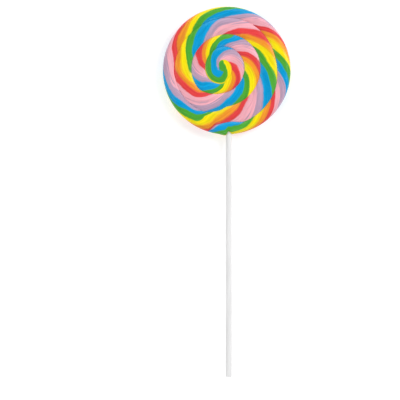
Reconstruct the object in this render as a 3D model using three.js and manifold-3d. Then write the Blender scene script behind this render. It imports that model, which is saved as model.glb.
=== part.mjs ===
/**
 * Swirl lollipop on a white stick, lying flat with its shown side up.
 *
 * A twisted rope of boiled sugar is coiled from its middle outwards, each turn fused to the
 * one before, and pressed into a round disc. The turns show as low ridges with a groove on
 * every seam, and the outer end of the rope tapers away over the stick, which is pushed into
 * the rim.
 *
 * Millimetres, +Z up. The origin is the middle of the disc's underside, on the plane that the
 * lollipop rests on, and the stick points along -Y. Angles round the coil are in degrees,
 * clockwise from +X as seen from above, the way the rope winds outwards.
 */
import * as THREE from 'three';
import { mergeVertices } from 'three/addons/utils/BufferGeometryUtils.js';
import Module from 'manifold-3d';

// Disc
const DISC_RADIUS = 38;
const DISC_THICKNESS = 7.5;
const MID_HEIGHT = DISC_THICKNESS / 2;
const RIM_ROUNDING = 3.4; // how far in from the rim the faces start to round over

// Coiled rope
const COIL_CENTRE = { x: -2.6, y: 1.3 };
const COIL_TURNS = 5;
const OUTER_END_ANGLE = 103; // where the rope starts in the middle and, turns later, ends at the rim
const GROOVE_DEPTH_TOP = 0.9;
const GROOVE_DEPTH_UNDER = 0.6;
const GROOVE_START = { from: 0.7, to: 1.2 }; // turns over which the fused core's groove opens
const GROOVE_RUN_OUT = 2; // distance from the rim at which a groove starts to close
const UNDERSIDE_FLATTENING = 1.25; // over 1 presses the ridges of the underside flat

// Radius of the outer edge of the rope, [turns from the middle, mm], with a new line for each
// turn. The rope starts as a short straight tongue. Each later turn steps outwards where it
// passes over the inner end, and the last one dips beside the stick.
const SEAM = [
  [0, 0], [0.3, 2.4], [0.45, 4.8], [0.75, 5.7], [0.9, 7.3], [0.95, 9.1],
  [1.1, 10.2], [1.25, 10.3], [1.36, 11.4], [1.5, 13.0], [1.75, 13.1], [1.95, 14.7],
  [2.05, 17.2], [2.1, 18.6], [2.3, 18.3], [2.42, 19.2], [2.54, 21.2], [2.66, 22.4],
  [2.94, 22.9], [2.98, 25.5],
  [3.04, 28.2], [3.15, 28.6], [3.33, 27.8], [3.42, 28.9], [3.57, 31.5], [3.68, 32.0],
  [3.74, 33.0], [3.79, 33.9], [3.9, 34.3], [3.94, 32.2], [3.98, 33.6],
];

// Stick
const STICK_RADIUS = 1.8;
const STICK_LENGTH = 178;
const STICK_INSERTED = 34;
const STICK_OFFSET = 1.2; // its axis passes this far to the +X side of the disc's middle
const STICK_CHAMFER = 0.25;
const STICK_SIDES = 32;
const SOCKET_GAP = 0.3;
const SOCKET_MOUTH = 4; // how far the socket's cutter reaches out past the rim

// The rim nicks in over the stick, and the sugar is squeezed out beside the nick.
const NICK = { angle: 84.5, width: 1.5, depth: 1.6 };
const SHOULDER = { angle: 88, width: 3.5, height: 0.7 };

// Mesh
const COARSE_STEP = 6; // degrees between columns of points round the coil
const FINE_STEP = 1.5; // the same where the rope tapers away and the stick goes in
const FINE_BEFORE_END = 30; // degrees on each side of the rope's end that are finely stepped
const FINE_AFTER_END = 9;
const ROWS = 6; // quads across the rope

const CANDY_COLOUR = 0xf2a9c0;
const STICK_COLOUR = 0xf7f7f5;

const smoothstep = (low, high, value) => THREE.MathUtils.smoothstep(value, low, high);
const bump = (angle, { angle: middle, width }) => Math.exp(-(((angle - middle) / width) ** 2));

/** Radius of the disc's rim, measured from the coil's centre at an angle of 0 to 360. */
function rimRadius(angle) {
  const turned = THREE.MathUtils.euclideanModulo(angle, 360);
  const radians = THREE.MathUtils.degToRad(turned);
  const along = -COIL_CENTRE.x * Math.cos(radians) + COIL_CENTRE.y * Math.sin(radians);
  const offCentre = COIL_CENTRE.x ** 2 + COIL_CENTRE.y ** 2;
  const circle = along + Math.sqrt(along ** 2 + DISC_RADIUS ** 2 - offCentre);
  return circle - NICK.depth * bump(turned, NICK) + SHOULDER.height * bump(turned, SHOULDER);
}

const seamKnots = [...SEAM, [COIL_TURNS - 1, rimRadius(OUTER_END_ANGLE)]];
const seamSlopes = knotSlopes(seamKnots);

/** Slope at each knot: the harmonic mean of the slopes beside it, so nothing overshoots. */
function knotSlopes(knots) {
  const rises = knots.slice(1).map(([t, r], i) => (r - knots[i][1]) / (t - knots[i][0]));
  return knots.map((_, i) => {
    const before = rises[Math.max(i - 1, 0)];
    const after = rises[Math.min(i, rises.length - 1)];
    return before * after <= 0 ? 0 : (2 * before * after) / (before + after);
  });
}

/** Radius of the rope's outer edge after a number of turns: the seam, then the rim. */
function ropeEdge(turn) {
  if (turn <= 0) return 0;
  if (turn >= COIL_TURNS - 1) return rimRadius(OUTER_END_ANGLE + 360 * turn);
  const i = seamKnots.findIndex(([t]) => t > turn) - 1;
  const [t0, r0] = seamKnots[i];
  const [t1, r1] = seamKnots[i + 1];
  const h = t1 - t0;
  const s = (turn - t0) / h;
  return r0 * (1 + 2 * s) * (1 - s) ** 2 + r1 * s ** 2 * (3 - 2 * s)
    + h * seamSlopes[i] * s * (1 - s) ** 2 + h * seamSlopes[i + 1] * s ** 2 * (s - 1);
}

/** Share of the full groove depth that the seam has after a number of turns. */
function grooveShare(turn) {
  if (turn <= 0) return 0;
  const toRim = rimRadius(OUTER_END_ANGLE + 360 * turn) - ropeEdge(turn);
  return smoothstep(GROOVE_START.from, GROOVE_START.to, turn)
    * smoothstep(0, GROOVE_RUN_OUT, toRim);
}

/**
 * Heights of both faces at a place on the rope.
 * across runs from 0 at the rope's inner edge to 1 at its outer edge. The crown falls off with
 * the cube of the distance from the rope's middle line, and near the rim both faces close on
 * the mid height along a quarter ellipse.
 */
function faceHeights(turn, across, radius) {
  const fall = Math.abs(2 * across - 1) ** 3;
  const share = grooveShare(across < 0.5 ? turn - 1 : turn);
  const pressed = 1 - Math.min(1, UNDERSIDE_FLATTENING * (1 - fall));
  const inward = Math.min((rimRadius(OUTER_END_ANGLE + 360 * turn) - radius) / RIM_ROUNDING, 1);
  const closing = Math.sqrt(1 - (1 - Math.max(inward, 0)) ** 2);
  return {
    top: MID_HEIGHT + (MID_HEIGHT - GROOVE_DEPTH_TOP * share * fall) * closing,
    under: MID_HEIGHT - (MID_HEIGHT - GROOVE_DEPTH_UNDER * share * pressed) * closing,
  };
}

/** The columns of points in one turn, as shares of a turn from the angle of the rope's end. */
function columnsOfOneTurn() {
  const shares = [];
  let degrees = 0;
  while (degrees < 360) {
    shares.push(degrees / 360);
    const fine = degrees < FINE_AFTER_END || degrees >= 360 - FINE_BEFORE_END;
    degrees += fine ? FINE_STEP : COARSE_STEP;
  }
  return shares;
}

/**
 * The pressed coil as one closed mesh. Each column of points crosses the rope, and a column's
 * inner edge is the outer edge of the column one turn earlier, so the turns share their seams.
 * The two faces share the rim. In the first turn the inner edge is the middle of the coil.
 */
function coilGeometry() {
  const shares = columnsOfOneTurn();
  const perTurn = shares.length;
  const columns = perTurn * COIL_TURNS;
  const rimStart = columns - perTurn;
  const turnOf = (column) => Math.floor(column / perTurn) + shares[column % perTurn];
  const positions = [];

  const addPoint = (turn, radius, height) => {
    const radians = THREE.MathUtils.degToRad(OUTER_END_ANGLE + 360 * turn);
    positions.push(COIL_CENTRE.x + radius * Math.cos(radians), COIL_CENTRE.y - radius * Math.sin(radians), height);
    return positions.length / 3 - 1;
  };
  const addPair = (turn, across, radius) => {
    const heights = faceHeights(turn, across, radius);
    return { top: addPoint(turn, radius, heights.top), under: addPoint(turn, radius, heights.under) };
  };

  const middle = addPair(0, 1, 0);
  const seams = [middle];
  for (let column = 1; column < rimStart; column += 1) {
    seams.push(addPair(turnOf(column), 1, ropeEdge(turnOf(column))));
  }
  for (let column = rimStart; column < columns; column += 1) {
    const point = addPoint(turnOf(column), ropeEdge(turnOf(column)), MID_HEIGHT);
    seams.push({ top: point, under: point });
  }
  seams.push(seams[rimStart]);

  const rows = seams.map((edge, column) => {
    const inner = column < perTurn ? middle : seams[column - perTurn];
    const points = [inner];
    for (let row = 1; row < ROWS; row += 1) {
      const turn = turnOf(column);
      const across = (1 - Math.cos((Math.PI * row) / ROWS)) / 2;
      const low = column < perTurn ? 0 : ropeEdge(turn - 1);
      const radius = THREE.MathUtils.lerp(low, ropeEdge(turn), across);
      points.push(inner === edge ? edge : addPair(turn, across, radius));
    }
    return [...points, edge];
  });

  const indices = [];
  const addTriangle = (a, b, c) => {
    if (a !== b && b !== c && c !== a) indices.push(a, b, c);
  };
  for (let column = 0; column < columns; column += 1) {
    for (let row = 0; row < ROWS; row += 1) {
      const corners = [rows[column][row], rows[column + 1][row], rows[column + 1][row + 1], rows[column][row + 1]];
      const [a, b, c, d] = corners.map((corner) => corner.top);
      addTriangle(a, b, c);
      addTriangle(a, c, d);
      const [e, f, g, h] = corners.map((corner) => corner.under);
      addTriangle(e, g, f);
      addTriangle(e, h, g);
    }
  }
  const geometry = new THREE.BufferGeometry();
  geometry.setAttribute('position', new THREE.Float32BufferAttribute(positions, 3));
  geometry.setIndex(indices);
  return geometry;
}

/** A round bar along Y, from its upper end down, with a small chamfer at both ends. */
function barGeometry(radius, length, chamfer) {
  const profile = [
    [0, -length], [radius - chamfer, -length], [radius, chamfer - length],
    [radius, -chamfer], [radius - chamfer, 0], [0, 0],
  ].map(([x, y]) => new THREE.Vector2(x, y));
  return new THREE.LatheGeometry(profile, STICK_SIDES);
}

/** A closed geometry as a solid, with its shared vertices merged. */
function toSolid(wasm, geometry) {
  const bare = geometry.clone();
  bare.deleteAttribute('normal');
  bare.deleteAttribute('uv');
  const merged = mergeVertices(bare);
  return new wasm.Manifold(new wasm.Mesh({
    numProp: 3,
    vertProperties: new Float32Array(merged.attributes.position.array),
    triVerts: new Uint32Array(merged.index.array),
  }));
}

/** A solid back as a geometry. */
function toGeometry(solid) {
  const mesh = solid.getMesh();
  const geometry = new THREE.BufferGeometry();
  geometry.setAttribute('position', new THREE.Float32BufferAttribute(mesh.vertProperties, 3));
  geometry.setIndex(Array.from(mesh.triVerts));
  geometry.computeVertexNormals();
  return geometry;
}

const stickEnd = STICK_INSERTED - DISC_RADIUS; // Y of the end inside the candy

/** The candy: the pressed coil with the socket that the stick was pushed into. */
function makeCandy(wasm) {
  const socketLength = STICK_INSERTED + SOCKET_GAP + SOCKET_MOUTH;
  const cutter = barGeometry(STICK_RADIUS + SOCKET_GAP, socketLength, STICK_CHAMFER);
  cutter.translate(STICK_OFFSET, stickEnd + SOCKET_GAP, MID_HEIGHT);
  const solid = toSolid(wasm, coilGeometry()).subtract(toSolid(wasm, cutter));
  const material = new THREE.MeshStandardMaterial({ color: CANDY_COLOUR, roughness: 0.35, metalness: 0 });
  const mesh = new THREE.Mesh(toGeometry(solid), material);
  mesh.name = 'candy';
  return mesh;
}

/** The stick, at mid height, so that it clears the resting plane. */
function makeStick() {
  const material = new THREE.MeshStandardMaterial({ color: STICK_COLOUR, roughness: 0.7, metalness: 0 });
  const mesh = new THREE.Mesh(barGeometry(STICK_RADIUS, STICK_LENGTH, STICK_CHAMFER), material);
  mesh.name = 'stick';
  mesh.position.set(STICK_OFFSET, stickEnd, MID_HEIGHT);
  return mesh;
}

const wasm = await Module();
wasm.setup();

const group = new THREE.Group();
group.add(makeCandy(wasm), makeStick());

export default group;
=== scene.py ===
"""Dresses a rainbow swirl lollipop that lies flat with its swirl facing up.

The frame holds two pieces. Node "candy" is a twisted rope of boiled sugar, coiled, fused and
pressed into a disc, and node "stick" is a rolled paper stick pushed into its rim. Both are made
again here at full fineness on the same form: the candy with its seven twisted colours, its
seams and the satin lines of pulled sugar, and the stick with its paper overlap and rolled ends.

Shapes, the floor and the camera are given in millimetres and handed to Blender in metres, and
the finishes' grain and bumps and the lamps are given in metres. Angles round the coil are in
degrees, clockwise from +X as seen from above, the way the rope winds outwards. A place on the
rope is given by its turn, counted from the middle, and by how far across the rope it lies,
from 0 at the inner seam to 1 at the outer one.
"""

import logging
import math
from dataclasses import dataclass, field
from enum import Enum

import bpy
import numpy as np
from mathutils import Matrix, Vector


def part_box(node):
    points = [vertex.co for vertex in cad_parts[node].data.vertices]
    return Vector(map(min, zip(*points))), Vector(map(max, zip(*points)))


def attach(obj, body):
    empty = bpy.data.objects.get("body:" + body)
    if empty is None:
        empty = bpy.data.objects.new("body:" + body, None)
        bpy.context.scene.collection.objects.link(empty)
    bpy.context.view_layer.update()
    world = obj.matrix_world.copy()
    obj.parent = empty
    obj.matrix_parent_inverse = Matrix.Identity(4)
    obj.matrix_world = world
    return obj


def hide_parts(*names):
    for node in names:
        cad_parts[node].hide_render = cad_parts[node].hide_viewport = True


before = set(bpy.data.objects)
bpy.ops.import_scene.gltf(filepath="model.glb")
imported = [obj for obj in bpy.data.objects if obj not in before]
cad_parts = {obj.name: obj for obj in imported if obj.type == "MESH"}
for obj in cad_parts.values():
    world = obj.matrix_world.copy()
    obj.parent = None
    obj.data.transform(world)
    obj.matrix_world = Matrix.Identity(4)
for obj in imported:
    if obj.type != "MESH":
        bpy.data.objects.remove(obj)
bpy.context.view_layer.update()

LOG = logging.getLogger("swirl_lollipop")
MM = 0.001
FULL_TURN = 360.0
NO_WIDTH = 1e-6  # stands for the rope's width where it has none, so that it can divide
ROPE_UV = "rope"
# the seam UV map holds the distance from the nearest seam, which sets where the sugar's painted seam
# shade falls
SEAM_UV = "seam"
SUGAR_LIGHT_SHARE = 0.9  # of the light, what the glossy skin lets through to the colours
PATCH_DETAIL, SPECK_DETAIL = 3.0, 2.0
PATCH_EDGES = (0.35, 0.65)  # values of the noise where a patch starts and where it is full

Socket = bpy.types.NodeSocket
Knots = tuple[tuple[float, float], ...]


class Face(Enum):
    """The two pressed faces of the disc, with the sign of the way that each one looks."""

    TOP = 1
    UNDER = -1


# ---- Curves and unevenness ----


def curve_through(knots: Knots, at: np.ndarray) -> np.ndarray:
    """Follow a smooth line through knots, which never overshoots them.

    Between two knots the line is a cubic. Its slope at a knot is the harmonic mean of the
    straight slopes on either side, or zero where those two point opposite ways.

    Args:
        knots: Pairs of place and value, with the places rising.
        at: Places to read the line at.

    Returns:
        The line's value at each place.
    """
    places, values = np.array(knots, float).T
    rises = np.diff(values) / np.diff(places)
    before, after = np.append(rises[0], rises), np.append(rises, rises[-1])
    turning = before * after <= 0
    slopes = np.where(turning, 0, 2 * before * after / np.where(turning, 1, before + after))
    low = np.clip(np.searchsorted(places, at, side="right") - 1, 0, len(places) - 2)
    step = places[low + 1] - places[low]
    s = (at - places[low]) / step
    bowed = step * s * (1 - s) * (slopes[low] * (1 - s) - slopes[low + 1] * s)
    return values[low] * (1 + 2 * s) * (1 - s) ** 2 + values[low + 1] * s**2 * (3 - 2 * s) + bowed


def smoothstep(low: float, high: float, value: np.ndarray) -> np.ndarray:
    """Rise smoothly from 0 at low to 1 at high."""
    t = np.clip((value - low) / (high - low), 0, 1)
    return t * t * (3 - 2 * t)


@dataclass(frozen=True)
class Ripples:
    """Soft unevenness over two directions: a sum of sine waves drawn once from a seed."""

    seed: int
    waves: int
    shortest: tuple[float, float]
    longest: tuple[float, float]

    def at(self, first: np.ndarray, second: np.ndarray) -> np.ndarray:
        """Sum the waves, each with its own two wavelengths and its own start.

        Args:
            first: Places along the first direction.
            second: Places along the second direction, of the same shape.

        Returns:
            The unevenness, with a spread of about 1.
        """
        draw = np.random.default_rng(self.seed)
        total = np.zeros(np.broadcast(first, second).shape)
        for _ in range(self.waves):
            lengths = draw.uniform(self.shortest, self.longest)
            signs = draw.choice((-1, 1), 2)
            start = draw.uniform(0, 2 * np.pi)
            cycles = signs[0] * first / lengths[0] + signs[1] * second / lengths[1]
            total += np.sin(2 * np.pi * cycles + start)
        return total / math.sqrt(self.waves / 2)


@dataclass(frozen=True)
class Dent:
    """A smooth local change of the rim's radius, as a bell curve of the angle."""

    angle: float
    width: float
    height: float

    def at(self, angle: np.ndarray) -> np.ndarray:
        """Height of the bell at each angle from 0 to 360."""
        return self.height * np.exp(-(((angle - self.angle) / self.width) ** 2))


# ---- The rope's path, section and twist ----


@dataclass(frozen=True)
class PressedCoil:
    """The rope's path from the middle to the rim, and the section that pressing gave it."""

    disc_radius: float
    thickness: float
    centre: tuple[float, float] = (-2.6, 1.3)
    turns: int = 5
    end_angle: float = 103.0
    rim_rounding: float = 3.4
    groove_top: float = 0.9
    groove_under: float = 0.6
    groove_start: tuple[float, float] = (0.7, 1.2)
    groove_run_out: float = 2.0
    under_flattening: float = 1.25
    dents: tuple[Dent, ...] = (Dent(84.5, 1.5, -1.6), Dent(88.0, 3.5, 0.7))
    seam: Knots = (
        (0, 0), (0.3, 2.4), (0.45, 4.8), (0.75, 5.7), (0.9, 7.3), (0.95, 9.1),
        (1.1, 10.2), (1.25, 10.3), (1.36, 11.4), (1.5, 13.0), (1.75, 13.1), (1.95, 14.7),
        (2.05, 17.2), (2.1, 18.6), (2.3, 18.3), (2.42, 19.2), (2.54, 21.2), (2.66, 22.4),
        (2.94, 22.9), (2.98, 25.5), (3.04, 28.2), (3.15, 28.6), (3.33, 27.8), (3.42, 28.9),
        (3.57, 31.5), (3.68, 32.0), (3.74, 33.0), (3.79, 33.9), (3.9, 34.3), (3.94, 32.2),
        (3.98, 33.6),
    )

    @property
    def mid_height(self) -> float:
        """Height of the rim's equator."""
        return self.thickness / 2

    def angle(self, turn: np.ndarray) -> np.ndarray:
        """Angle round the coil after a number of turns, from 0 to 360."""
        return np.mod(self.end_angle + FULL_TURN * turn, FULL_TURN)

    def rim(self, turn: np.ndarray) -> np.ndarray:
        """Distance from the coil's centre to the disc's rim.

        It is the distance to a circle round the disc's own middle, from a point beside that
        middle, with the dents over the stick added.

        Args:
            turn: Turns from the middle of the coil.

        Returns:
            The distance at each turn's angle.
        """
        angle = self.angle(turn)
        radians = np.radians(angle)
        x, y = self.centre
        along = -x * np.cos(radians) + y * np.sin(radians)
        circle = along + np.sqrt(along**2 + self.disc_radius**2 - x**2 - y**2)
        return circle + sum(dent.at(angle) for dent in self.dents)

    def edge(self, turn: np.ndarray) -> np.ndarray:
        """Radius of the rope's outer edge: the seam, and in the last turn the rim.

        Args:
            turn: Turns from the middle of the coil.

        Returns:
            The radius, which is 0 before the rope starts.
        """
        last = self.turns - 1
        knots = (*self.seam, (last, float(self.rim(np.array(float(last))))))
        seam = curve_through(knots, np.clip(turn, 0, last))
        return np.where(turn >= last, self.rim(turn), np.where(turn <= 0, 0, seam))

    def groove_share(self, turn: np.ndarray) -> np.ndarray:
        """Share of the full groove depth that the seam has: none in the core and at the rim."""
        to_rim = self.rim(turn) - self.edge(turn)
        return smoothstep(*self.groove_start, turn) * smoothstep(0, self.groove_run_out, to_rim)

    def unrolled(self, radius: np.ndarray, rim: np.ndarray) -> np.ndarray:
        """Distance along the section, out to a radius, with the rounded rim laid flat.

        Args:
            radius: Distance from the coil's centre.
            rim: Distance from there to the rim.

        Returns:
            The radius itself on the flat, and past it the length of the rim's arc as well.
        """
        flat = rim - self.rim_rounding
        share = np.clip((radius - flat) / self.rim_rounding, 0, 1)
        return np.minimum(radius, flat) + self.rim_rounding * np.arcsin(share)

    def rolled(self, distance: np.ndarray, rim: np.ndarray) -> np.ndarray:
        """Radius at a distance along the section: the opposite of unrolled.

        Args:
            distance: Distance along the section, with the rounded rim laid flat.
            rim: Distance from the coil's centre to the rim.

        Returns:
            The distance itself on the flat, and past it the sine of the rim's arc as well.
        """
        flat = rim - self.rim_rounding
        turned = np.clip((distance - flat) / self.rim_rounding, 0, np.pi / 2)
        return np.minimum(distance, flat) + self.rim_rounding * np.sin(turned)

    def lean(self, radius: np.ndarray, rim: np.ndarray) -> np.ndarray:
        """How far the rounded rim leans over, as the sine of its lean: 0 on the flat, 1 at the rim."""
        return np.clip(1 - (rim - radius) / self.rim_rounding, 0, 1)

    def length(self, turn: np.ndarray) -> np.ndarray:
        """Length of the rope's middle line out to each turn, added up along the columns.

        Each step is its share of a full circle at the mean radius of its two ends.

        Args:
            turn: Turns from the middle of the coil, rising from row to row.

        Returns:
            The length, which starts at 0.
        """
        middle = (self.edge(turn) + self.edge(turn - 1)) / 2
        steps = np.diff(turn, axis=0) * 2 * np.pi * (middle[1:] + middle[:-1]) / 2
        return np.concatenate([np.zeros_like(turn[:1]), np.cumsum(steps, axis=0)])


@dataclass(frozen=True)
class Pull:
    """A place where the sugar dragged the stripes aside, as a bell over turn and across, so
    many turns long and so much of the rope wide."""

    turn: float
    across: float
    long: float
    wide: float
    twists: float

    def at(self, turn: np.ndarray, across: np.ndarray) -> np.ndarray:
        """Twists that the stripes are shifted by: the height of the bell at each place."""
        along, over = (turn - self.turn) / self.long, (across - self.across) / self.wide
        return self.twists * np.exp(-(along**2) - over**2)


@dataclass(frozen=True)
class Twist:
    """How the colours wind round the rope: whole twists count the green stripe on its crest.

    The crest's knots say how many twists the rope has made after a number of turns. The
    fused inner end, out to the core's radius, shows its green stripe alone.
    """

    flank: float = 6.0
    core_radius: float = 2.0
    core_blend: float = 0.35
    crest: Knots = (
        (0, 0), (0.47, 0.04), (0.52, -0.05), (0.7, -0.09), (0.8, -0.05),
        (1.0, 0.11), (1.2, 0.1), (1.4, 0.21), (1.5, 0.32), (1.6, 0.44), (1.7, 0.52),
        (1.8, 0.65), (1.9, 0.79), (2.0, 1.02), (2.2, 1.45), (2.4, 1.91), (2.6, 2.47), (2.7, 2.72),
        (2.8, 2.94), (2.9, 3.17), (3.0, 3.34), (3.1, 3.59), (3.2, 3.77), (3.3, 4.0), (3.4, 4.2),
        (3.45, 4.35), (3.5, 4.46), (3.7, 4.96), (3.75, 5.08), (3.8, 5.26), (3.9, 5.57),
        (3.97, 5.76), (4.0, 5.82), (4.1, 6.16), (4.2, 6.4), (4.3, 6.64), (4.4, 6.96), (4.5, 7.19),
        (4.6, 7.59), (4.7, 8.01), (4.8, 8.52), (4.9, 8.95), (4.97, 9.14), (5.0, 9.3),
    )
    pulls: tuple[Pull, ...] = (
        Pull(turn=0.95, across=0.35, long=0.05, wide=0.3, twists=-0.05),
        Pull(turn=1.05, across=1.0, long=0.14, wide=0.1, twists=-0.09),
        Pull(turn=1.27, across=0.8, long=0.09, wide=0.3, twists=-0.04),
        Pull(turn=1.93, across=0.0, long=0.06, wide=0.35, twists=-0.06),
        Pull(turn=2.08, across=0.25, long=0.04, wide=0.35, twists=-0.08),
        Pull(turn=2.21, across=0.1, long=0.04, wide=0.3, twists=-0.05),
        Pull(turn=2.295, across=0.95, long=0.03, wide=0.25, twists=0.045),
        Pull(turn=2.505, across=0.75, long=0.035, wide=0.35, twists=-0.08),
        Pull(turn=3.2, across=0.1, long=0.04, wide=0.3, twists=0.05),
        Pull(turn=3.6, across=0.9, long=0.04, wide=0.3, twists=0.04),
        Pull(turn=3.725, across=0.95, long=0.04, wide=0.25, twists=0.04),
        Pull(turn=4.0, across=0.1, long=0.03, wide=0.28, twists=-0.1),
        Pull(turn=4.03, across=0.2, long=0.018, wide=0.16, twists=-0.05),
        Pull(turn=4.035, across=0.8, long=0.025, wide=0.4, twists=0.06),
        Pull(turn=4.055, across=0.0, long=0.045, wide=0.28, twists=0.17),
        Pull(turn=4.19, across=0.0, long=0.03, wide=0.1, twists=0.07),
    )
    wander: Ripples = Ripples(seed=11, waves=14, shortest=(0.35, 14.0), longest=(1.4, 60.0))
    wander_twists: float = 0.015

    def phase(
        self, face: Face, turn: np.ndarray, across: np.ndarray, width: np.ndarray,
        lean: np.ndarray, length: np.ndarray, radius: np.ndarray,
    ) -> np.ndarray:
        """Count the twists at a place on the rope's skin.

        The crest's own count falls by the share of the girth that lies between the crest and
        the place. The girth is the rope's width over and under, and a flank on each side. On
        the rounded rim, the flank's share comes in with the height that is lost.

        Args:
            face: Whether the place is on the top or on the underside.
            turn: Turns from the middle of the coil.
            across: Place across the rope, from 0 at its inner edge to 1 at its outer edge.
            width: Width of the rope.
            lean: Sine of the rim's lean.
            length: Length of the rope out to there.
            radius: Distance from the coil's centre.

        Returns:
            The count of twists, which repeats its colour with every whole one.
        """
        span = width / (2 * width + 2 * self.flank)
        to_equator = 0.25 - span / 2  # share of the girth from the rope's edge to the equator
        over_rim = to_equator * (1 - np.sqrt(1 - lean**2))
        if face is Face.TOP:
            girth = span * (across - 0.5) + over_rim
        else:
            girth = 0.5 + span * (0.5 - across) - over_rim
        count = curve_through(self.crest, turn) - girth
        count = count + sum(pull.at(turn, across) for pull in self.pulls)
        count = count + self.wander_twists * self.wander.at(count, length)
        inside = self.core_radius - self.core_blend, self.core_radius + self.core_blend
        return count * smoothstep(*inside, radius)


class Stripe(Enum):
    """The seven colours of the rope, in their order round it."""

    GREEN = "green"
    BLUE = "blue"
    LILAC = "lilac"
    PINK = "pink"
    RED = "red"
    ORANGE = "orange"
    YELLOW = "yellow"


@dataclass(frozen=True)
class Band:
    """One stripe: its colour as sRGB bytes, its share of the rope's girth, and how softly it
    meets the next one, as the share of the girth on each side of their edge."""

    stripe: Stripe
    colour: tuple[int, int, int]
    share: float
    blend: float


BANDS = (
    Band(Stripe.GREEN, (80, 170, 55), 0.15, 0.014),
    Band(Stripe.BLUE, (5, 158, 217), 0.165, 0.018),
    Band(Stripe.LILAC, (190, 160, 185), 0.16, 0.04),
    Band(Stripe.PINK, (244, 175, 187), 0.15, 0.014),
    Band(Stripe.RED, (230, 68, 70), 0.13, 0.03),
    Band(Stripe.ORANGE, (244, 153, 46), 0.12, 0.04),
    Band(Stripe.YELLOW, (250, 230, 14), 0.125, 0.014),
)


def band_ends(bands: tuple[Band, ...]) -> list[float]:
    """Add up the shares to where each stripe ends, counted from the middle of the first."""
    ends = np.cumsum([band.share for band in bands]) - bands[0].share / 2
    return ends.tolist()


# ---- Meshes ----


@dataclass
class Sheet:
    """A grid of points with two texture places each, and the shared point that each one is."""

    points: np.ndarray
    rope: np.ndarray
    seam: np.ndarray
    index: np.ndarray
    looks_up: bool

    def triangles(self) -> np.ndarray:
        """Split each cell of the grid in two, and leave out what has shrunk to a line.

        Columns follow the coil clockwise and rows run outwards, so a cell that is gone round
        in that order looks up.

        Returns:
            Rows of three grid places each, wound so that the face looks outwards.
        """
        place = np.arange(self.index.size).reshape(self.index.shape)
        a, b = place[:-1, :-1].ravel(), place[1:, :-1].ravel()
        c, d = place[1:, 1:].ravel(), place[:-1, 1:].ravel()
        found = np.concatenate([np.stack([a, b, c], 1), np.stack([a, c, d], 1)])
        if not self.looks_up:
            found = found[:, ::-1]
        shared = self.index.ravel()[found]
        whole = (shared != np.roll(shared, 1, axis=1)).all(axis=1)
        return found[whole]


def joined_mesh(name: str, sheets: list[Sheet]) -> bpy.types.Mesh:
    """Join sheets that share points into one mesh with its two UV maps.

    Args:
        name: Name of the mesh.
        sheets: The sheets, whose index arrays number their points in common.

    Returns:
        The mesh, in metres and smooth shaded.
    """
    corners, points, rope, seam = [], [], [], []
    for sheet in sheets:
        found = sheet.triangles()
        corners.append(sheet.index.ravel()[found])
        rope.append(sheet.rope.reshape(-1, 2)[found.ravel()])
        seam.append(sheet.seam.reshape(-1, 2)[found.ravel()])
        points.append((sheet.index.ravel(), sheet.points.reshape(-1, 3)))
    faces = np.concatenate(corners)
    used, compact = np.unique(faces, return_inverse=True)
    table = np.zeros((used.max() + 1, 3))
    for index, place in points:
        table[index[::-1]] = place[::-1]  # backwards, so that the first point of a number stays
    mesh = bpy.data.meshes.new(name)
    mesh.from_pydata(table[used] * MM, [], compact.reshape(faces.shape))
    for label, values in ((ROPE_UV, rope), (SEAM_UV, seam)):
        layer = mesh.uv_layers.new(name=label)
        layer.uv.foreach_set("vector", np.concatenate(values).astype(np.float32).ravel())
    mesh.validate()
    mesh.shade_smooth()
    return mesh


def finished(obj: bpy.types.Object, node: str, material: bpy.types.Material) -> None:
    """Dress a piece, put it on the body, and let it stand for its CAD node.

    Args:
        obj: The piece, with its place in its mesh.
        node: The CAD node that it replaces.
        material: Its finish.
    """
    obj.data.materials.clear()
    obj.data.materials.append(material)
    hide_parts(node)
    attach(obj, "root")
    LOG.info("%s: %d points, %d faces", obj.name, len(obj.data.vertices), len(obj.data.polygons))


def linked(name: str, data: bpy.types.ID) -> bpy.types.Object:
    """Put a mesh, lamp or camera into the scene as a new object at the origin.

    Args:
        name: Name of the object.
        data: The mesh, lamp or camera.

    Returns:
        The object.
    """
    obj = bpy.data.objects.new(name, data)
    bpy.context.scene.collection.objects.link(obj)
    return obj


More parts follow.
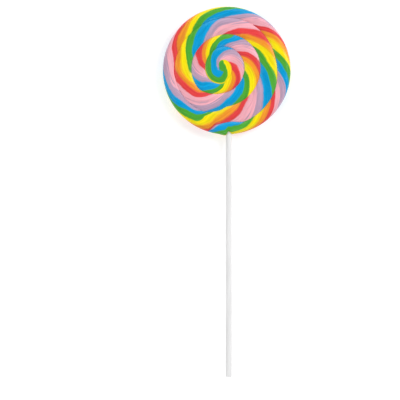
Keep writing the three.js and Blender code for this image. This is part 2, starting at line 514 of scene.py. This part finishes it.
@dataclass
class CandyDisc:
    """The pressed coil of striped sugar, with the socket that the stick sits in."""

    coil: PressedCoil
    twist: Twist = Twist()
    columns: int = 300
    rows: dict[Face, int] = field(default_factory=lambda: {Face.TOP: 32, Face.UNDER: 20})
    rope_map_length: float = 10.0
    seam_map_reach: float = 5.0
    crown_power: int = 3
    seam_hold_power: int = 6
    crease_depth: float = 0.07
    crease_width: float = 0.3
    strand_groove: float = 0.05
    strand_groove_width: float = 0.012
    satin: Ripples = Ripples(seed=5, waves=18, shortest=(0.036, 18.0), longest=(0.11, 90.0))
    satin_depth: float = 0.012
    press: Ripples = Ripples(seed=23, waves=10, shortest=(9.0, 9.0), longest=(30.0, 30.0))
    press_depth: float = 0.05
    press_lowering: float = 3.0
    socket_gap: float = 0.04
    socket_mouth: float = 6.0
    socket_sides: int = 64
    sharp_angle: float = 50.0

    def groove_depth(self, face: Face, turn: np.ndarray, across: np.ndarray) -> np.ndarray:
        """Depth of the face below its full height, from the rope's rounded crown.

        The crown falls off with a power, the crown power, of the distance from the rope's
        middle line. On the underside the crown is pressed flat.

        Args:
            face: Top or underside.
            turn: Turns from the middle of the coil.
            across: Place across the rope.

        Returns:
            The depth, which is the full groove depth on an open seam.
        """
        fall = np.abs(2 * across - 1) ** self.crown_power
        share = self.coil.groove_share(np.where(across < 0.5, turn - 1, turn))
        if face is Face.TOP:
            return self.coil.groove_top * share * fall
        pressed = 1 - np.minimum(1, self.coil.under_flattening * (1 - fall))
        return self.coil.groove_under * share * pressed

    def relief(
        self, face: Face, turn: np.ndarray, across: np.ndarray, gap: np.ndarray,
        phase: np.ndarray, length: np.ndarray,
    ) -> np.ndarray:
        """Fine relief of the skin, outwards.

        Each seam has a narrow crease. Away from the seams, which hold the skin level, the
        strands show: a shallow groove between neighbouring colours, and the satin lines of
        pulled sugar along them.

        Args:
            face: Top or underside.
            turn: Turns from the middle of the coil.
            across: Place across the rope.
            gap: Distance from the nearest seam.
            phase: Count of twists.
            length: Length of the rope.

        Returns:
            The relief, negative where it goes in.
        """
        share = self.coil.groove_share(np.where(across < 0.5, turn - 1, turn))
        crease = self.crease_depth * share * np.exp(-((gap / self.crease_width) ** 2))
        outer = smoothstep(0, self.coil.groove_run_out, self.coil.rim(turn) - self.coil.edge(turn))
        held = np.abs(2 * across - 1) ** self.seam_hold_power * np.where(across < 0.5, 1, outer)
        strands = sum(
            np.exp(-(((np.mod(phase - end + 0.5, 1) - 0.5) / self.strand_groove_width) ** 2))
            for end in band_ends(BANDS)
        )
        skin = self.satin_depth * self.satin.at(phase, length) - self.strand_groove * strands
        if face is Face.UNDER:
            skin = np.minimum(skin, 0)
        return (1 - held) * skin - crease

    def sheet(self, face: Face) -> Sheet:
        """Work out one face of the coil as a grid of columns along the rope and rows across it.

        A column's inner edge lies on the outer edge of the column one turn earlier. Rows are
        spread evenly along the section, round the rim too. The rim is a quarter ellipse on
        each face, and both quarters meet on the equator.

        Args:
            face: Top or underside.

        Returns:
            The face's points, its two texture places and its shared numbering.
        """
        coil = self.coil
        rows = self.rows[face]
        turn = (np.arange(coil.turns * self.columns + 1) / self.columns)[:, None]
        share = np.linspace(0, 1, rows + 1)[None, :]
        rim, inner, outer = coil.rim(turn), coil.edge(turn - 1), coil.edge(turn)
        start, stop = coil.unrolled(inner, rim), coil.unrolled(outer, rim)
        radius = coil.rolled(start + (stop - start) * share, rim)
        width = np.maximum(outer - inner, NO_WIDTH)
        across = np.clip((radius - inner) / width, 0, 1)
        turn, share = np.broadcast_arrays(turn, share)
        lean = coil.lean(radius, rim)
        upright = np.sqrt(1 - lean**2)
        length = coil.length(turn)
        to_outer = np.where(turn >= coil.turns - 1, np.inf, outer - radius)
        to_inner = np.where(turn < 1, np.inf, radius - inner)
        gap = np.minimum(to_outer, to_inner)

        phase = self.twist.phase(face, turn, across, width, lean, length, radius)
        relief = self.relief(face, turn, across, gap, phase, length)
        radians = np.radians(coil.angle(turn))
        x = coil.centre[0] + radius * np.cos(radians)
        y = coil.centre[1] - radius * np.sin(radians)
        body = coil.mid_height - self.groove_depth(face, turn, across)
        if face is Face.TOP:
            body = body + self.press_depth * (self.press.at(x, y) - self.press_lowering)
        height = coil.mid_height + face.value * (body + relief * upright) * upright
        pushed = relief * lean
        x = x + pushed * np.cos(radians)
        y = y - pushed * np.sin(radians)

        return Sheet(
            points=np.stack([x, y, height], -1),
            rope=np.stack([phase, length / self.rope_map_length], -1),
            seam=np.stack([np.minimum(gap, self.seam_map_reach), np.zeros_like(gap)], -1),
            index=self.numbering(face),
            looks_up=face is Face.TOP,
        )

    def numbering(self, face: Face) -> np.ndarray:
        """Number the points of one face, with the same number for points that are shared.

        The rim's points come first and belong to both faces. Every other point has a number
        of its own, apart from the inner edges, which take those of the turn before.

        Args:
            face: Top or underside.

        Returns:
            The number of each column and row.
        """
        columns, rows = self.coil.turns * self.columns + 1, self.rows[face]
        rim_start = (self.coil.turns - 1) * self.columns
        first = self.columns + (0 if face is Face.TOP else columns * (self.rows[Face.TOP] + 1))
        index = first + np.arange(columns * (rows + 1)).reshape(columns, rows + 1)
        index[rim_start:, rows] = np.arange(columns - rim_start) % self.columns
        index[: self.columns, 0] = index[0, 0]
        index[0, :] = index[0, 0]
        index[self.columns :, 0] = index[: -self.columns, rows]
        index[-1, :] = index[rim_start, rows]
        return index

    def socket(self) -> bpy.types.Object:
        """Make the cutter for the socket: a bar a little thicker than the stick, past the rim.

        Returns:
            The cutter, with the candy's UV maps so that the cut keeps them.
        """
        low, high = (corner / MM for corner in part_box("stick"))
        radius = (high.x - low.x) / 2 + self.socket_gap
        around = np.linspace(0, 2 * np.pi, self.socket_sides, endpoint=False)
        ring = np.stack([np.cos(around), np.zeros_like(around), np.sin(around)], -1) * radius
        middle = np.array([(low.x + high.x) / 2, 0, self.coil.mid_height])
        mouth = -self.coil.disc_radius - self.socket_mouth
        ends = [ring + middle + (0, y, 0) for y in (mouth, high.y + self.socket_gap)]
        sides = self.socket_sides
        near = np.arange(sides)
        walls = np.stack([near, near + sides, (near + 1) % sides + sides, (near + 1) % sides], 1)
        faces = [*walls.tolist(), near.tolist(), (near[::-1] + sides).tolist()]
        mesh = bpy.data.meshes.new("socket")
        mesh.from_pydata(np.concatenate(ends) * MM, [], faces)
        for label in (ROPE_UV, SEAM_UV):
            mesh.uv_layers.new(name=label)
        return linked("socket", mesh)

    def build(self, material: bpy.types.Material) -> None:
        """Make the disc, cut its socket and dress it.

        Args:
            material: The sugar's finish.
        """
        mesh = joined_mesh("candy_coil", [self.sheet(Face.TOP), self.sheet(Face.UNDER)])
        candy = linked("candy_coil", mesh)
        cutter = self.socket()
        cut = candy.modifiers.new("socket", "BOOLEAN")
        cut.operation = "DIFFERENCE"
        cut.solver = "MANIFOLD"
        cut.object = cutter
        depsgraph = bpy.context.evaluated_depsgraph_get()
        candy.data = bpy.data.meshes.new_from_object(candy.evaluated_get(depsgraph))
        candy.modifiers.clear()
        bpy.data.objects.remove(cutter)
        candy.data.set_sharp_from_angle(angle=math.radians(self.sharp_angle))
        finished(candy, "candy", material)


@dataclass
class PaperStick:
    """The stick: paper rolled tight round itself, with its loose edge glued down along it."""

    sides: int = 96
    overlap: float = 0.07
    overlap_angle: float = -35.0
    end_rounding: float = 0.22
    layer: float = 0.3
    layer_depth: float = 0.06
    pinhole: float = 0.3
    pinhole_depth: float = 0.5
    end_rings: int = 30
    shaft_rings: int = 60
    rounding_rings: int = 6
    sharp_angle: float = 40.0

    def profile(self, radius: float) -> tuple[np.ndarray, np.ndarray, np.ndarray]:
        """Lay out one end's rings, from its middle over its rounded edge.

        Args:
            radius: Radius of the stick.

        Returns:
            For each ring: its radius, its distance back from the end, and the share of the
            rolled layers' relief that it has.
        """
        flat = np.linspace(0, radius - self.end_rounding, self.end_rings + 1)[1:]
        lean = np.linspace(0, np.pi / 2, self.rounding_rings + 1)[1:]
        ring = np.concatenate([flat, radius - self.end_rounding * (1 - np.sin(lean))])
        back = np.concatenate([np.zeros_like(flat), self.end_rounding * (1 - np.cos(lean))])
        share = np.concatenate([np.ones_like(flat), np.cos(lean)])
        return ring, back, share

    def rings(self, low: np.ndarray, high: np.ndarray) -> np.ndarray:
        """Work out the skin from one end to the other, apart from the middle of each end.

        The section is a circle whose radius falls by the overlap over one turn, and steps
        back up where the paper's edge lies. On the ends the layers show as a spiral groove, a
        cosine of the radius in layers less the turn, and a smooth pinhole sinks in the middle.

        Args:
            low: Lowest corner of the stick's box.
            high: Highest corner of the stick's box.

        Returns:
            The points of each ring.
        """
        radius = (high[0] - low[0]) / 2
        ring, back, share = self.profile(radius)
        start, stop = low[1] + self.end_rounding, high[1] - self.end_rounding
        shaft = np.linspace(start, stop, self.shaft_rings)[1:-1]
        radii = np.concatenate([ring, np.full(shaft.size, radius), ring[::-1]])[:, None]
        places = np.concatenate([low[1] + back, shaft, high[1] - back[::-1]])[:, None]
        inwards = np.concatenate([share, np.zeros(shaft.size), -share[::-1]])[:, None]

        turned = np.linspace(0, 1, self.sides, endpoint=False)[None, :]
        spiral = 0.5 - 0.5 * np.cos(2 * np.pi * (radii / self.layer - turned))
        hole = self.pinhole_depth * (1 - smoothstep(0.5 * self.pinhole, self.pinhole, radii))
        depth = inwards * (self.layer_depth * spiral + hole)
        edge = radii - self.overlap * turned * radii / radius
        radians = 2 * np.pi * turned + math.radians(self.overlap_angle)
        x = (low[0] + high[0]) / 2 + edge * np.cos(radians)
        z = (low[2] + high[2]) / 2 + edge * np.sin(radians)
        return np.stack(np.broadcast_arrays(x, places + depth, z), -1)

    def build(self, material: bpy.types.Material) -> None:
        """Make the stick as one closed skin, with a fan of triangles round the middle of each end.

        Args:
            material: The paper's finish.
        """
        low, high = (np.array(corner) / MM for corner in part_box("stick"))
        points = self.rings(low, high)
        rows, sides = points.shape[:2]
        tips = np.tile((low + high) / 2, (2, 1))
        tips[:, 1] = low[1] + self.pinhole_depth, high[1] - self.pinhole_depth

        start = np.arange(rows - 1)[:, None] * sides
        near = np.arange(sides)
        far = (near + 1) % sides
        skin = np.stack([start + near, start + near + sides, start + far + sides, start + far], -1)
        first_tip, last_ring = rows * sides, (rows - 1) * sides
        first_cap = np.stack([np.full(sides, first_tip), near, far], 1)
        last_cap = np.stack([np.full(sides, first_tip + 1), last_ring + far, last_ring + near], 1)
        faces = [*skin.reshape(-1, 4).tolist(), *first_cap.tolist(), *last_cap.tolist()]

        mesh = bpy.data.meshes.new("paper_stick")
        mesh.from_pydata(np.concatenate([points.reshape(-1, 3), tips]) * MM, [], faces)
        mesh.validate()
        mesh.shade_smooth()
        mesh.set_sharp_from_angle(angle=math.radians(self.sharp_angle))
        finished(linked("paper_stick", mesh), "stick", material)


# ---- Finishes ----


def linear(colour: tuple[int, int, int], level: float = 1.0) -> tuple[float, float, float, float]:
    """Turn sRGB bytes into a linear colour, divided by the light's level.

    Args:
        colour: Red, green and blue as bytes.
        level: How bright a white surface is under the lights.

    Returns:
        Linear red, green, blue and an alpha of 1.
    """
    shares = [byte / 255 for byte in colour]
    straight = [s / 12.92 if s <= 0.04045 else ((s + 0.055) / 1.055) ** 2.4 for s in shares]
    return (*(min(value / level, 1.0) for value in straight), 1.0)


@dataclass
class Nodes:
    """A node tree, and short ways to add to it."""

    tree: bpy.types.NodeTree

    def add(
        self, kind: str, inputs: dict[str | int, object] | None = None, **settings: object
    ) -> bpy.types.Node:
        """Add a node.

        Args:
            kind: The node's type, without its ShaderNode prefix.
            inputs: Sockets to link, or values to set, by the input's name or number.
            settings: The node's own properties.

        Returns:
            The new node.
        """
        node = self.tree.nodes.new(kind if kind.startswith("Node") else f"ShaderNode{kind}")
        for name, value in settings.items():
            setattr(node, name, value)
        for key, value in (inputs or {}).items():
            if isinstance(value, Socket):
                self.tree.links.new(value, node.inputs[key])
            else:
                node.inputs[key].default_value = value
        return node

    def math(self, operation: str, first: Socket | float, second: Socket | float = 0.0) -> Socket:
        """Work out one sum of two numbers."""
        return self.add("Math", {0: first, 1: second}, operation=operation).outputs[0]

    def noise(
        self, vector: Socket, scale: Socket | float, detail: float, roughness: float = 0.5
    ) -> Socket:
        """Read a noise of about 0.3 to 0.7 at a place."""
        inputs = {"Vector": vector, "Scale": scale, "Detail": detail, "Roughness": roughness}
        return self.add("TexNoise", inputs).outputs[0]

    def spread(self, value: Socket, low: float, high: float, to_low: float, to_high: float) -> Socket:
        """Map a range onto another one smoothly, and hold it at both ends."""
        inputs = {"Value": value, "From Min": low, "From Max": high, "To Min": to_low, "To Max": to_high}
        return self.add("MapRange", inputs, interpolation_type="SMOOTHSTEP").outputs[0]

    def mix(self, factor: Socket, first: object, second: object, blend: str = "MIX") -> Socket:
        """Blend two colours."""
        inputs = {0: factor, 6: first, 7: second}
        return self.add("Mix", inputs, data_type="RGBA", blend_type=blend).outputs[2]

    def stretched(self, vector: Socket, scale: tuple[float, float, float]) -> Socket:
        """Scale a vector along its three directions."""
        return self.add("Mapping", {"Vector": vector, "Scale": scale}).outputs[0]

    def scaled(self, colour: Socket, level: Socket) -> Socket:
        """Make a colour lighter or darker by a level."""
        return self.add("VectorMath", {0: colour, "Scale": level}, operation="SCALE").outputs[0]


def empty_material(name: str) -> tuple[bpy.types.Material, Nodes]:
    """Make a material with an empty node tree.

    Args:
        name: Name of the material.

    Returns:
        The material, and its tree to add nodes to.
    """
    made = bpy.data.materials.new(name)
    made.use_nodes = True
    made.node_tree.nodes.clear()
    return made, Nodes(made.node_tree)


def grain_group() -> bpy.types.NodeTree:
    """Build the grain that the sugar and the paper share.

    It has a coarse mask of worn or dull patches, and a fine height of specks on top.

    Returns:
        The node group, with a vector, a patch size and a speck size in metres as inputs.
    """
    group = bpy.data.node_groups.new("surface_grain", "ShaderNodeTree")
    group.interface.new_socket("Vector", in_out="INPUT", socket_type="NodeSocketVector")
    for name in ("Patch Size", "Speck Size"):
        group.interface.new_socket(name, in_out="INPUT", socket_type="NodeSocketFloat")
    for name in ("Patches", "Specks"):
        group.interface.new_socket(name, in_out="OUTPUT", socket_type="NodeSocketFloat")
    nodes = Nodes(group)
    given = nodes.add("NodeGroupInput").outputs
    patches, specks = (
        nodes.noise(given["Vector"], nodes.math("DIVIDE", 1.0, given[size]), detail)
        for size, detail in (("Patch Size", PATCH_DETAIL), ("Speck Size", SPECK_DETAIL))
    )
    found = {"Patches": nodes.spread(patches, *PATCH_EDGES, 0.0, 1.0), "Specks": specks}
    nodes.add("NodeGroupOutput", found)
    return group


@dataclass(frozen=True)
class Grain:
    """How large a finish's patches and specks are, and how its relief shows, in metres."""

    patch_size: float
    speck_size: float
    bump_strength: float
    bump_depth: float

    def on(self, nodes: Nodes, group: bpy.types.NodeTree, place: Socket) -> list[Socket]:
        """Read the patches and the specks of the grain group, at this finish's own sizes."""
        sizes = {"Vector": place, "Patch Size": self.patch_size, "Speck Size": self.speck_size}
        return nodes.add("Group", sizes, node_tree=group).outputs[:]

    def bump(self, nodes: Nodes, height: Socket) -> Socket:
        """Turn a height into a normal."""
        inputs = {"Height": height, "Strength": self.bump_strength, "Distance": self.bump_depth}
        return nodes.add("Bump", inputs).outputs[0]


@dataclass(frozen=True)
class PulledNoise:
    """Noise drawn out along the rope, by how often it changes over the rope's UV map."""

    round_rope: float
    along_rope: float
    detail: float
    roughness: float = 0.5

    def on(self, nodes: Nodes, rope: Socket) -> Socket:
        """Read the noise on the rope's UV map."""
        place = nodes.stretched(rope, (self.round_rope, self.along_rope, 1.0))
        return nodes.noise(place, 1.0, self.detail, self.roughness)


@dataclass(frozen=True)
class StripedSugar:
    """Boiled sugar in seven colours, pulled until satiny lines run along its twist."""

    light_level: float
    bands: tuple[Band, ...] = BANDS
    streaks: PulledNoise = PulledNoise(round_rope=26.0, along_rope=0.5, detail=3.0, roughness=0.6)
    threads: PulledNoise = PulledNoise(round_rope=85.0, along_rope=0.35, detail=2.0)
    tremble: PulledNoise = PulledNoise(round_rope=7.0, along_rope=2.4, detail=4.0, roughness=0.65)
    edge_tremble: float = 0.024
    mingling: float = 0.6
    mingling_reach: float = 0.14
    streak_range: tuple[float, float] = (0.3, 0.7)
    streak_levels: tuple[float, float] = (0.86, 1.14)
    pale_range: tuple[float, float] = (0.55, 0.75)
    pale_share: float = 0.2
    pale_colour: tuple[float, float, float, float] = (1.0, 0.97, 0.94, 1.0)
    # painted shade in the creases: the colour's level on the seam, and how far from it the painted shade
    # reaches
    painted_seam_shade: float = 0.90
    painted_seam_shade_reach: float = 0.45
    grain: Grain = Grain(patch_size=0.0045, speck_size=0.00035, bump_strength=0.35, bump_depth=0.00008)
    thread_height: float = 0.6
    speck_height: float = 0.25
    roughness: tuple[float, float] = (0.26, 0.40)
    specular: float = 0.2
    translucency: float = 0.08
    bleed: float = 0.0006
    bleed_by_colour: tuple[float, float, float] = (1.0, 0.7, 0.5)

    def material(self, group: bpy.types.NodeTree) -> bpy.types.Material:
        """Build the sugar's material on the rope's own UV maps.

        Args:
            group: The shared grain group.

        Returns:
            The material.
        """
        made, nodes = empty_material("striped_sugar")
        rope = nodes.add("UVMap", uv_map=ROPE_UV).outputs[0]
        noises = (self.streaks, self.threads, self.tremble)
        streaks, threads, tremble = (noise.on(nodes, rope) for noise in noises)
        colour = self.striped(nodes, rope, tremble, streaks)
        colour = self.streaked(nodes, colour, streaks, threads)
        # painted shade: the colour is darkened towards each seam, where the crease between turns would
        # lie in shadow
        colour = self.with_painted_seam_shade(nodes, colour)

        place = nodes.add("TexCoord").outputs["Object"]
        patches, specks = self.grain.on(nodes, group, place)
        specks = nodes.math("MULTIPLY", specks, self.speck_height)
        height = nodes.math("ADD", nodes.math("MULTIPLY", threads, self.thread_height), specks)
        shader = nodes.add("BsdfPrincipled", {
            "Base Color": colour,
            "Roughness": nodes.spread(patches, 0.0, 1.0, *self.roughness),
            "Specular IOR Level": self.specular,
            "Subsurface Weight": self.translucency,
            "Subsurface Radius": self.bleed_by_colour,
            "Subsurface Scale": self.bleed,
            "Normal": self.grain.bump(nodes, height),
        })
        nodes.add("OutputMaterial", {"Surface": shader.outputs[0]})
        return made

    def mingled(self, nodes: Nodes, share: Socket, streaks: Socket) -> Socket:
        """Let lilac and pink run into each other in streaks, most of all where they meet.

        Args:
            nodes: The material's tree.
            share: Share of a twist.
            streaks: Broad noise along the stripes.

        Returns:
            The share, shifted by the streaks near the meeting of the two colours.
        """
        ends = zip(self.bands, band_ends(self.bands))
        meeting = next(end for band, end in ends if band.stripe is Stripe.LILAC)
        away = nodes.math("ABSOLUTE", nodes.math("SUBTRACT", share, meeting))
        reach = nodes.spread(away, 0.0, self.mingling_reach, self.mingling, 0.0)
        shift = nodes.math("MULTIPLY", nodes.math("SUBTRACT", streaks, 0.5), reach)
        return nodes.math("ADD", share, shift)

    def striped(self, nodes: Nodes, rope: Socket, tremble: Socket, streaks: Socket) -> Socket:
        """Colour each place by its share of a twist.

        Args:
            nodes: The material's tree.
            rope: The rope's UV map, whose X counts twists.
            tremble: Noise that moves the stripes' edges a little.
            streaks: Broad noise along the stripes.

        Returns:
            The stripes' colour.
        """
        twists = nodes.add("SeparateXYZ", {0: rope}).outputs[0]
        moved = nodes.math("MULTIPLY", nodes.math("SUBTRACT", tremble, 0.5), 2 * self.edge_tremble)
        share = nodes.math("FRACT", nodes.math("ADD", twists, moved))
        ramp = nodes.add("ValToRGB", {0: self.mingled(nodes, share, streaks)})
        ramp.color_ramp.interpolation = "EASE"
        elements = ramp.color_ramp.elements
        elements.remove(elements[1])
        elements[0].position = 0.0
        elements[0].color = linear(self.bands[0].colour, self.light_level)
        following = (*self.bands[1:], self.bands[0])
        for band, after, end in zip(self.bands, following, band_ends(self.bands)):
            elements.new(end - band.blend).color = linear(band.colour, self.light_level)
            elements.new(end + band.blend).color = linear(after.colour, self.light_level)
        return ramp.outputs[0]

    def streaked(self, nodes: Nodes, colour: Socket, streaks: Socket, threads: Socket) -> Socket:
        """Vary the colour along the pulled lines: darker and lighter streaks, and pale threads.

        Args:
            nodes: The material's tree.
            colour: The stripes' colour.
            streaks: Broad noise along the stripes.
            threads: Fine noise along the stripes.

        Returns:
            The varied colour.
        """
        level = nodes.spread(streaks, *self.streak_range, *self.streak_levels)
        varied = nodes.scaled(colour, level)
        pale = nodes.spread(threads, *self.pale_range, 0.0, self.pale_share)
        return nodes.mix(pale, varied, self.pale_colour, "SOFT_LIGHT")

    def with_painted_seam_shade(self, nodes: Nodes, colour: Socket) -> Socket:
        """Paint shade into the colour in the crease between two turns of the rope.

        Args:
            nodes: The material's tree.
            colour: The rope's colour.

        Returns:
            The colour with its painted shade, darkest on the seam itself.
        """
        seam = nodes.add("UVMap", uv_map=SEAM_UV).outputs[0]
        gap = nodes.add("SeparateXYZ", {0: seam}).outputs[0]
        return nodes.scaled(colour, nodes.spread(gap, 0.0, self.painted_seam_shade_reach, self.painted_seam_shade, 1.0))


@dataclass(frozen=True)
class RolledPaper:
    """Matt white paper, with fibres along the stick."""

    light_level: float
    colour: tuple[int, int, int] = (254, 254, 254)
    shade: tuple[int, int, int] = (247, 247, 247)
    grain: Grain = Grain(patch_size=0.003, speck_size=0.00018, bump_strength=0.4, bump_depth=0.00006)
    fibre_scale: tuple[float, float, float] = (1.0, 0.12, 1.0)
    roughness: tuple[float, float] = (0.58, 0.75)
    specular: float = 0.3

    def material(self, group: bpy.types.NodeTree) -> bpy.types.Material:
        """Build the paper's material on Object coordinates.

        Args:
            group: The shared grain group.

        Returns:
            The material.
        """
        made, nodes = empty_material("rolled_paper")
        place = nodes.stretched(nodes.add("TexCoord").outputs["Object"], self.fibre_scale)
        patches, specks = self.grain.on(nodes, group, place)
        clean, worn = (linear(colour, self.light_level) for colour in (self.colour, self.shade))
        shader = nodes.add("BsdfPrincipled", {
            "Base Color": nodes.mix(patches, clean, worn),
            "Roughness": nodes.spread(patches, 0.0, 1.0, *self.roughness),
            "Specular IOR Level": self.specular,
            "Normal": self.grain.bump(nodes, specks),
        })
        nodes.add("OutputMaterial", {"Surface": shader.outputs[0]})
        return made


# ---- Floor, lights and camera ----


@dataclass(frozen=True)
class Softbox:
    """A square area light that looks at the disc."""

    name: str
    place: tuple[float, float, float]
    side: float
    level: float

    def build(self) -> None:
        """Add the light, with the power that makes a level white surface this bright.

        A lambertian light of power P lights a surface at distance d by P / (pi d^2), times
        the cosine of the slant, and a white surface sends back a pi-th of that.
        """
        lamp = bpy.data.lights.new(self.name, "AREA")
        lamp.shape = "SQUARE"
        lamp.size = self.side
        place = Vector(self.place)
        lamp.energy = self.level * math.pi**2 * place.length**3 / place.z
        obj = linked(self.name, lamp)
        obj.location = place
        obj.rotation_euler = place.to_track_quat("Z", "Y").to_euler()


@dataclass(frozen=True)
class Studio:
    """A pale floor, a pale room, four softboxes and a camera straight above."""

    room_level: float = 0.20
    wall_level: float = 0.86
    floor_side: float = 8000.0
    floor_drop: float = 0.02
    floor_shade: float = 0.6
    floor_glow: float = 0.5
    floor_roughness: float = 0.9
    look_at: tuple[float, float] = (-15.9, -77.0)
    camera_distance: float = 1200.0
    view_width: float = 237.9
    sensor_width: float = 36.0
    boxes: tuple[Softbox, ...] = (
        Softbox("key_right", (0.80, 0.35, 0.62), 0.60, 0.41),
        Softbox("fill_left", (-0.85, -0.05, 0.60), 0.70, 0.25),
        Softbox("fill_back", (-0.10, 0.90, 0.62), 0.70, 0.22),
        Softbox("fill_front", (0.10, -1.00, 0.62), 0.70, 0.17),
    )

    @property
    def level(self) -> float:
        """How bright a level white surface is under all the lights."""
        return self.room_level + sum(box.level for box in self.boxes)

    def floor(self) -> None:
        """Lay the floor under the lollipop."""
        half = self.floor_side * MM / 2
        mesh = bpy.data.meshes.new("floor")
        corners = [(-half, -half), (half, -half), (half, half), (-half, half)]
        mesh.from_pydata([(x, y, -self.floor_drop * MM) for x, y in corners], [], [(0, 1, 2, 3)])
        made, nodes = empty_material("floor")
        shader = nodes.add("BsdfPrincipled", {
            "Base Color": (*[self.floor_shade] * 3, 1),
            "Roughness": self.floor_roughness,
            "Specular IOR Level": 0.0,
            "Emission Color": (1, 1, 1, 1),
            "Emission Strength": self.floor_glow,
        })
        nodes.add("OutputMaterial", {"Surface": shader.outputs[0]})
        mesh.materials.append(made)
        linked("floor", mesh)

    def room(self) -> None:
        """Surround everything with the same soft light, and with walls that look pale."""
        world = bpy.data.worlds.new("room")
        world.use_nodes = True
        nodes = Nodes(world.node_tree)
        seen = nodes.add("LightPath").outputs["Is Camera Ray"]
        level = nodes.spread(seen, 0.0, 1.0, self.room_level, self.wall_level)
        background = world.node_tree.nodes["Background"]
        background.inputs["Color"].default_value = (1, 1, 1, 1)
        world.node_tree.links.new(level, background.inputs["Strength"])
        bpy.context.scene.world = world
        bpy.context.scene.view_settings.view_transform = "Standard"

    def camera(self, height: float) -> None:
        """Hang the camera straight above, as wide as the view at the disc's middle height.

        Args:
            height: Height of the disc's middle, in millimetres.
        """
        data = bpy.data.cameras.new("camera")
        data.sensor_width = self.sensor_width
        data.lens = self.sensor_width * self.camera_distance / self.view_width
        camera = linked("camera", data)
        camera.location = Vector((*self.look_at, height + self.camera_distance)) * MM
        bpy.context.scene.camera = camera

    def build(self, height: float) -> None:
        """Set up the floor, the room, the lights and the camera.

        Args:
            height: Height of the disc's middle, in millimetres.
        """
        self.floor()
        self.room()
        for box in self.boxes:
            box.build()
        self.camera(height)
        LOG.info("studio: %d softboxes, white at %.2f", len(self.boxes), self.level)


def main() -> None:
    """Build the lollipop's two pieces and the studio round them."""
    logging.basicConfig(level=logging.INFO, format="%(name)s: %(message)s")
    low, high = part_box("candy")
    coil = PressedCoil(disc_radius=high.y / MM, thickness=(high.z - low.z) / MM)
    studio = Studio()
    grain = grain_group()
    CandyDisc(coil).build(StripedSugar(studio.level * SUGAR_LIGHT_SHARE).material(grain))
    PaperStick().build(RolledPaper(studio.level).material(grain))
    studio.build(coil.mid_height)


if __name__ == "__main__":
    main()
